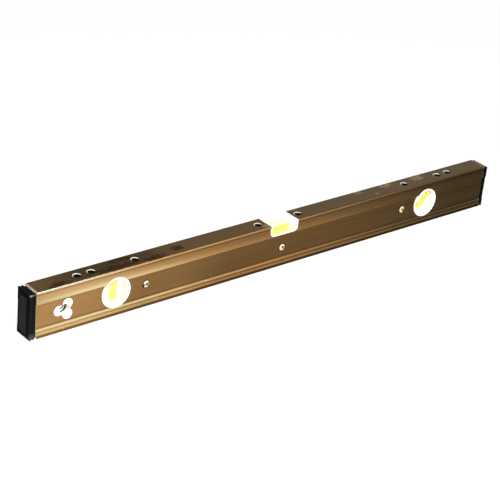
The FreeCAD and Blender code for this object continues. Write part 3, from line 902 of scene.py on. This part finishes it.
@dataclass(frozen=True)
class BlockFinish(ClearFinish):
    """Clear block with painted yellow reflections on its sides in the windows, a painted yellow front and
    glow on the middle block, and a painted glow on its top.
    """

    # painted yellow reflections on the sides in the windows, painted yellow front and painted glows on the
    # middle block
    stripe_reflection_colour: Colour = (0.95, 0.96, 0.22)
    front_yellow_cast: Colour = (0.97, 0.88, 0.02)
    front_glow_colour: Colour = (0.03, 0.03, 0.16)
    top_glow_colour: Colour = (0.56, 0.56, 0.5)
    window_x: float = 209.2
    window_z: float = 25.1
    right_share: float = 0.35
    window_end: float = 0.1
    face_band: Span = (-0.0094, -0.0092)
    front_band: Span = (-0.0105, -0.0103)
    top_band: Span = (0.0493, 0.0495)
    stripe_stops: Stops = (
        (-0.0121, 1.0), (-0.0102, 1.0), (-0.0095, 0.0), (0.0062, 0.0), (0.0068, 0.8), (0.0085, 0.3),
        (0.0098, 0.9), (0.0121, 0.6),
    )
    front_stops: Stops = (
        (-0.016, 1.0), (-0.01, 0.97), (-0.003, 0.98), (0.003, 0.94), (0.008, 0.88), (0.012, 0.6),
        (0.017, 0.0),
    )

    def tint(self, graph: Graph, shader: bpy.types.Node, where: Socket, colour: Feed) -> Feed:
        """Paint yellow reflections on the block sides in the windows, a yellow front on the middle block,
        and a glow on its front and top.

        Args:
            graph: nodes of the material.
            shader: principled shader of the material.
            where: object coordinates.
            colour: colour of the clear material.

        Returns:
            The colour with its tints.
        """
        x, y, z = graph.split(where)
        upright = graph.math("ADD", x, self.window_x * MM)
        slant = graph.math("SUBTRACT", graph.math("SUBTRACT", x, z), (self.window_x - self.window_z) * MM)
        slanted = graph.product(slant, math.sqrt(0.5))
        left = graph.math("LESS_THAN", x, -self.window_end)
        right = graph.math("GREATER_THAN", x, self.window_end)
        across = graph.math("ADD", graph.product(left, upright), graph.product(right, slanted))
        window = graph.math("ADD", left, right)
        shown = graph.math("MULTIPLY_ADD", right, self.right_share - 1.0, window)
        # painted yellow reflection stripes on the sides in the windows
        face = graph.ramp(y, *self.face_band, FALL)
        stripes = graph.product(shown, face, graph.stops(across, self.stripe_stops))
        colour = graph.blend(stripes, colour, self.stripe_reflection_colour)
        # painted yellow front of the middle block
        middle = graph.math("SUBTRACT", 1.0, window)
        near = graph.ramp(y, *self.front_band, FALL)
        front = graph.product(middle, near, graph.stops(x, self.front_stops))
        colour = graph.blend(front, colour, self.front_yellow_cast)
        top = graph.product(middle, graph.ramp(z, *self.top_band))
        # painted glow on the front and top of the middle block
        self.plain(shader, Emission_Strength=1.0)
        painted_glow = graph.blend(front, (0.0, 0.0, 0.0), self.front_glow_colour)
        graph.feed(shader.inputs["Emission Color"], graph.blend(top, painted_glow, self.top_glow_colour))
        return colour


class Palette:
    """Builds each finish once and hands it out by slot."""

    def __init__(self, effects: Effects) -> None:
        """Build all the materials.

        Args:
            effects: shared groups.
        """
        # painted shadow round the seat of each screw head
        seat = ((-0.0103, 1.0), (-0.01, 0.0))
        # painted glints and shadow spots on the screw heads
        gold_glint_spots = ((-170.9, 24.5, 1.5, 3.6), (3.5, 21.1, 1.5, 3.6), (176.0, 24.2, 1.9, 3.6))
        shadow_spots = ((-176.9, 23.4, 1.3, 2.6), (-171.9, 24.2, 0.7, 2.2), (175.6, 22.9, 0.9, 1.5))
        # painted shadow on the cups below the rim and on their near side
        rim = ((0.0489, 0.0), (0.0493, 1.0))
        far = ((-0.0015, 0.0), (0.001, 1.0))
        finishes = {
            Slot.BRONZE: BronzeFinish(),
            Slot.CAP: RubberFinish("black rubber", (0.003, 0.0032, 0.0031), 0.5, 0.18, 1200.0, 0.2, 0.2),
            # painted glow of 0.3, and 0.6 where seen through clear plastic
            Slot.WHITE: LinerFinish(
                "white plastic", (0.8, 0.8, 0.78), 0.35, 0.5, 800.0, 0.02, 0.05, 0.3, 0.6
            ),
            Slot.CLEAR: BlockFinish("clear acrylic", (0.99, 1.0, 0.985), 1.49, 0.92),
            # painted glow of 0.1, and 0.3 where seen through clear plastic
            Slot.RING: PlasticFinish(
                "yellow ring print", (0.85, 0.72, 0.0), 0.4, 0.2, 900.0, 0.05, 0.05, 0.1, 0.3
            ),
            Slot.LIQUID: ClearFinish("yellow vial liquid", (0.95, 0.88, 0.1), 1.36, 0.9, 0.0),
            Slot.AIR: ClearFinish("vial bubble", (1.0, 1.0, 1.0), 0.735, 1.0, 0.0),
            Slot.SCREW: MetalFinish(
                "plated screw", (1.0, 0.93, 0.74), 0.25, 0.3, 1, seat, (0.08, 0.03, 0.006), (), gold_glint_spots, shadow_spots
            ),
            Slot.CUP: MetalFinish(
                "nickel cup", (1.0, 0.99, 0.96), 0.35, 0.15, 2, rim, (0.004, 0.004, 0.004), far
            ),
            Slot.MAGNET: PlasticFinish("magnet face", (0.002, 0.002, 0.002), 0.7, 0.05, 900.0, 0.3, 0.1),
        }
        self.materials = {slot: finish.build(effects) for slot, finish in finishes.items()}

    def dress(self, piece: bpy.types.Object, slot: Slot) -> None:
        """Give a piece its finish.

        Args:
            piece: CAD node or new piece.
            slot: material slot of the record.
        """
        piece.data.materials.clear()
        piece.data.materials.append(self.materials[slot])


class Assembly:
    """Base of the sub-assemblies: finds CAD nodes and adds new pieces."""

    def __init__(self, palette: Palette) -> None:
        """Keep the palette.

        Args:
            palette: finishes by slot.
        """
        self.palette = palette

    def dress_nodes(self, slot: Slot, *names: str) -> None:
        """Give CAD nodes their finish and report them.

        Args:
            slot: material slot of the record.
            *names: names of the nodes.
        """
        for name in names:
            self.palette.dress(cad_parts[name], slot)
            LOG.info("node %s: %s", name, slot.value)

    def add_piece(self, name: str, shape: bmesh.types.BMesh, slot: Slot, body: str) -> bpy.types.Object:
        """Make an object from a finished bmesh.

        Args:
            name: name of the new piece.
            shape: its mesh, in the row frame; it is freed here.
            slot: material slot of the record.
            body: CAD body that it rides on.

        Returns:
            The new piece.
        """
        bmesh.ops.remove_doubles(shape, verts=shape.verts, dist=MERGE_M)
        bmesh.ops.recalc_face_normals(shape, faces=shape.faces)
        mesh = bpy.data.meshes.new(name)
        shape.to_mesh(mesh)
        shape.free()
        for face in mesh.polygons:
            face.use_smooth = True
        piece = bpy.data.objects.new(name, mesh)
        bpy.context.scene.collection.objects.link(piece)
        self.palette.dress(piece, slot)
        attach(piece, body)
        LOG.info("piece %s: %d faces on %s", name, len(mesh.polygons), body)
        return piece


@dataclass(frozen=True)
class VialSizes:
    """Sizes of one vial along its own axis, in millimetres."""

    name: str
    axis: Axis
    centre: Point
    low: float
    high: float
    bubble_middle: float
    bubble_radius: float
    rise: float
    radius: float = 4.0
    crown: float = 0.12
    overlap: float = 0.02
    bubble_length: float = 9.2
    steps: int = 64
    ring_offsets: tuple[float, ...] = (-7.95, -4.75, 4.75, 7.95)
    ring_width: float = 0.7
    ring_outer: float = 4.345
    liquid_steps: int = 24
    bubble_steps: int = 32
    bluntness: float = 0.55


class Vial(Assembly):
    """A vial in its clear block: carrier, rings, liquid, bubble and plug."""

    def __init__(self, palette: Palette, sizes: VialSizes) -> None:
        """Keep the palette and the sizes.

        Args:
            palette: finishes by slot.
            sizes: sizes of this vial.
        """
        super().__init__(palette)
        self.sizes = sizes

    def _place(self, shape: bmesh.types.BMesh) -> None:
        """Turn a mesh from the vial's own axis to its place in the beam.

        Args:
            shape: mesh in millimetres round the Z axis.
        """
        turn = Vector((0, 0, 1)).rotation_difference(Vector(self.sizes.axis.value)).to_matrix().to_4x4()
        shift = Matrix.Translation(Vector(self.sizes.centre) * MM)
        bmesh.ops.transform(shape, matrix=shift @ turn @ Matrix.Scale(MM, 4), verts=shape.verts)

    def _turned(self, profile: Sequence[Span]) -> bmesh.types.BMesh:
        """Spin a profile of radius and height round the Z axis.

        Args:
            profile: points from the lower pole to the upper pole.

        Returns:
            The closed mesh.
        """
        shape = bmesh.new()
        verts = [shape.verts.new((radius, 0.0, height)) for radius, height in profile]
        edges = [shape.edges.new(pair) for pair in zip(verts, verts[1:])]
        bmesh.ops.spin(
            shape,
            geom=verts + edges,
            cent=(0.0, 0.0, 0.0),
            axis=(0.0, 0.0, 1.0),
            angle=2.0 * math.pi,
            steps=self.sizes.steps,
            use_merge=True,
        )
        bmesh.ops.remove_doubles(shape, verts=shape.verts, dist=MERGE_MM)
        return shape

    def build_liquid(self) -> None:
        """Fill the barrel, touching its wall, and stand for the CAD liquid."""
        sizes = self.sizes
        middle = (sizes.low + sizes.high) / 2.0
        half = (sizes.high - sizes.low) / 2.0 + sizes.overlap
        profile = [(0.0, middle - half)]
        for step in range(sizes.liquid_steps + 1):
            share = 2.0 * step / sizes.liquid_steps - 1.0
            radius = sizes.radius + sizes.overlap - sizes.crown * share * share
            profile.append((radius, middle + half * share))
        profile.append((0.0, middle + half))
        shape = self._turned(profile)
        self._place(shape)
        piece = self.add_piece(sizes.name + "_liquid_fill", shape, Slot.LIQUID, "level")
        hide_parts(sizes.name + "_liquid")

    def build_rings(self) -> None:
        """Fill the four ring grooves with their print and stand for the CAD rings."""
        sizes = self.sizes
        middle = (sizes.low + sizes.high) / 2.0
        inner = sizes.radius + sizes.overlap / 2.0
        half = sizes.ring_width / 2.0 + sizes.overlap / 2.0
        rings = bmesh.new()
        for offset in sizes.ring_offsets:
            height = middle + offset
            profile = [
                (inner, height - half),
                (sizes.ring_outer, height - half),
                (sizes.ring_outer, height + half),
                (inner, height + half),
                (inner, height - half),
            ]
            shape = self._turned(profile)
            self._place(shape)
            mesh = bpy.data.meshes.new("ring")
            shape.to_mesh(mesh)
            shape.free()
            rings.from_mesh(mesh)
            bpy.data.meshes.remove(mesh)
        piece = self.add_piece(sizes.name + "_ring_print", rings, Slot.RING, "level")
        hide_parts(sizes.name + "_rings")

    def build_bubble(self) -> None:
        """Shape the bubble with rounded ends and stand for the CAD bubble."""
        sizes = self.sizes
        reach = sizes.bubble_length / 2.0
        profile = []
        for step in range(sizes.bubble_steps + 1):
            angle = math.pi * step / sizes.bubble_steps
            height = -math.cos(angle)
            radius = sizes.bubble_radius * math.sin(angle) ** sizes.bluntness
            profile.append((radius, reach * height))
        shape = self._turned(profile)
        bmesh.ops.translate(shape, vec=(sizes.rise, 0.0, sizes.bubble_middle), verts=shape.verts)
        self._place(shape)
        piece = self.add_piece(sizes.name + "_bubble_air", shape, Slot.AIR, sizes.name + "_bubble")
        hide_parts(sizes.name + "_bubble")

    def build(self) -> None:
        """Dress the vial's nodes and add its liquid, ring print and bubble."""
        name = self.sizes.name
        self.dress_nodes(Slot.WHITE, name + "_holder", name + "_plug")
        self.dress_nodes(Slot.CLEAR, name + "_block")
        self.build_liquid()
        self.build_rings()
        self.build_bubble()


class Hardware(Assembly):
    """Beam, end caps, hanging hole, screws and magnets, all kept as CAD nodes."""

    def build(self) -> None:
        """Dress the nodes."""
        self.dress_nodes(Slot.BRONZE, "beam")
        self.dress_nodes(Slot.CAP, "left_end_cap", "right_end_cap")
        self.dress_nodes(Slot.WHITE, "hang_liner_front", "hang_liner_back")
        self.dress_nodes(Slot.SCREW, "holder_screws")
        self.dress_nodes(Slot.CUP, *("magnet_cup_%d" % (n + 1) for n in range(8)))
        self.dress_nodes(Slot.MAGNET, *("magnet_%d" % (n + 1) for n in range(8)))


@dataclass(frozen=True)
class Lamp:
    """One soft area lamp."""

    name: str
    place: Point
    target: Point
    size: Span
    power: float

    def build(self) -> None:
        """Add the lamp to the scene."""
        data = bpy.data.lights.new(self.name, "AREA")
        data.shape = "RECTANGLE"
        data.size, data.size_y = self.size
        data.energy = self.power
        lamp = bpy.data.objects.new(self.name, data)
        lamp.location = self.place
        aim = Vector(self.target) - Vector(self.place)
        lamp.rotation_euler = aim.to_track_quat("-Z", "Y").to_euler()
        lamp.visible_camera = False
        bpy.context.scene.collection.objects.link(lamp)


class Studio:
    """Floor, world, lamps and camera."""

    lamps = (
        Lamp("key", (-1.0, -1.5, 1.5), (0.0, 0.0, 0.0), (1.4, 1.0), 55.0),
        Lamp("front panel", (0.35, -0.95, 0.45), (-0.1, 0.0, 0.03), (0.6, 0.4), 1.1),
        Lamp("overhead", (-0.1, -0.55, 0.95), (0.0, 0.0, 0.0), (0.9, 0.5), 8.0),
    )
    floor_size = 4.0
    floor_colour = (0.8, 0.8, 0.8)
    faint_colour = (0.14, 0.14, 0.14)
    white_strength = 0.9
    world_colour = (0.22, 0.215, 0.21)
    fade_reach = (-0.05, 0.3)
    sensor = 36.0
    lens = 115.15
    shift = (-0.0012, 0.0002)
    nearest = 0.05
    viewpoint = (-1.0069327, -1.1086, 0.7837827)
    right = (0.77798, -0.621977, 0.088834)
    forward = (0.586209, 0.66771, -0.458826)
    lean = 0.877
    # painted reflection: the floor's glow seen only in reflections, by position along the beam and by
    # distance in front, with painted shadow close to the object
    glow_stops = (
        (-0.5, 0.05), (-0.4, 0.15), (-0.33, 0.7), (-0.245, 0.56), (-0.195, 0.34), (-0.14, 0.33),
        (-0.09, 0.21), (-0.03, 0.19), (0.05, 0.15), (0.14, 0.1), (0.24, 0.05), (0.34, 0.03),
    )
    reflection_distance_stops = (
        (-0.01, 0.2), (0.008, 0.45), (0.016, 1.0), (0.072, 1.0), (0.092, 1.5), (0.12, 1.7), (0.25, 2.6),
        (0.6, 3.8), (1.2, 4.5),
    )

    @staticmethod
    def _shown(graph: Graph, path: bpy.types.Node) -> Socket:
        """Mark the rays that should see white: camera rays and all that went through clear plastic.

        Args:
            graph: graph of the material or the world.
            path: its Light Path node.

        Returns:
            1 for those rays, 0 for the others.
        """
        straight = graph.math("MAXIMUM", path.outputs["Is Camera Ray"], path.outputs["Is Transmission Ray"])
        passed = graph.math("GREATER_THAN", path.outputs["Transmission Depth"], 0.5)
        return graph.math("MAXIMUM", straight, passed)

    def build_floor(self) -> None:
        """Lay a plain pale floor that stays white to the camera and keeps a faint shadow; reflections see a
        painted glow with painted shadow near the object.
        """
        shape = bmesh.new()
        bmesh.ops.create_grid(shape, x_segments=1, y_segments=1, size=self.floor_size)
        mesh = bpy.data.meshes.new("floor")
        shape.to_mesh(mesh)
        shape.free()
        floor = bpy.data.objects.new("floor", mesh)
        bpy.context.scene.collection.objects.link(floor)
        material = bpy.data.materials.new("pale floor")
        material.use_nodes = True
        material.node_tree.nodes.clear()
        graph = Graph(material.node_tree)
        where = graph.add("ShaderNodeTexCoord").outputs["Object"]
        split = graph.split(where)
        across = split[1]
        along = graph.math("ADD", split[0], graph.product(across, self.lean))
        # painted reflection glow along the beam, dimmed as painted shadow near the object
        run = graph.stops(along, self.glow_stops)
        table = graph.stops(graph.product(across, -1.0), self.reflection_distance_stops)
        fade = graph.ramp(along, *self.fade_reach, (1.0, 0.25))
        away = graph.math("MULTIPLY_ADD", graph.math("SUBTRACT", table, 1.0), fade, 1.0)
        path = graph.add("ShaderNodeLightPath")
        shown = self._shown(graph, path)
        matt = graph.add("ShaderNodeBsdfDiffuse")
        graph.feed(matt.inputs["Color"], self.floor_colour)
        glow = graph.add("ShaderNodeEmission")
        graph.feed(glow.inputs["Color"], run)
        graph.feed(glow.inputs["Strength"], away)
        white = graph.add("ShaderNodeEmission")
        white.inputs["Strength"].default_value = self.white_strength
        faint = graph.add("ShaderNodeBsdfDiffuse")
        graph.feed(faint.inputs["Color"], self.faint_colour)
        seen = graph.add("ShaderNodeAddShader")
        graph.feed(seen.inputs[0], white.outputs[0])
        graph.feed(seen.inputs[1], faint.outputs[0])
        inner = graph.choose(path.outputs["Is Glossy Ray"], matt.outputs[0], glow.outputs[0])
        outer = graph.choose(shown, inner, seen.outputs[0])
        leave = graph.add("ShaderNodeOutputMaterial")
        graph.feed(leave.inputs["Surface"], outer)
        mesh.materials.append(material)

    def build_world(self) -> None:
        """Make a dim world that is white behind the object."""
        world = bpy.data.worlds.new("studio")
        world.use_nodes = True
        world.node_tree.nodes.clear()
        graph = Graph(world.node_tree)
        shown = self._shown(graph, graph.add("ShaderNodeLightPath"))
        back = graph.add("ShaderNodeBackground")
        graph.feed(back.inputs["Color"], graph.blend(shown, self.world_colour, (1.0, 1.0, 1.0)))
        leave = graph.add("ShaderNodeOutputWorld")
        graph.feed(leave.inputs["Surface"], back.outputs[0])
        bpy.context.scene.world = world

    def build_camera(self) -> None:
        """Set the camera at the photograph's place and angle."""
        data = bpy.data.cameras.new("camera")
        data.sensor_width = self.sensor
        data.lens = self.lens
        data.shift_x, data.shift_y = self.shift
        data.clip_start = self.nearest
        camera = bpy.data.objects.new("camera", data)
        right = Vector(self.right).normalized()
        forward = Vector(self.forward).normalized()
        up = right.cross(forward).normalized()
        right = forward.cross(up).normalized()
        turn = Matrix((right, up, -forward)).transposed().to_4x4()
        camera.matrix_world = Matrix.Translation(self.viewpoint) @ turn
        bpy.context.scene.collection.objects.link(camera)
        bpy.context.scene.camera = camera

    def build(self) -> None:
        """Build the whole studio."""
        self.build_floor()
        self.build_world()
        self.build_camera()
        for lamp in self.lamps:
            lamp.build()
        bpy.context.scene.view_settings.view_transform = "Standard"
        LOG.info("studio: %d lamps", len(self.lamps))


def main() -> None:
    """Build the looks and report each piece."""
    logging.basicConfig(level=logging.INFO, format="%(name)s: %(message)s")
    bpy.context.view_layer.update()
    palette = Palette(Effects())
    Hardware(palette).build()
    vials = (
        VialSizes("plumb", Axis.UPRIGHT, (-209.2, 0.0, 25.1), -10.1, 14.5, 9.45, 2.9, 0.0),
        VialSizes("angle", Axis.SLANTED, (209.2, 0.0, 25.1), -10.1, 14.5, 9.45, 2.9, 0.0),
        VialSizes("level", Axis.LENGTHWISE, (0.8, 0.0, 44.4), -9.65, 15.85, 3.1, 2.5, 0.9),
    )
    for sizes in vials:
        Vial(palette, sizes).build()
    Studio().build()


if __name__ == "__main__":
    main()
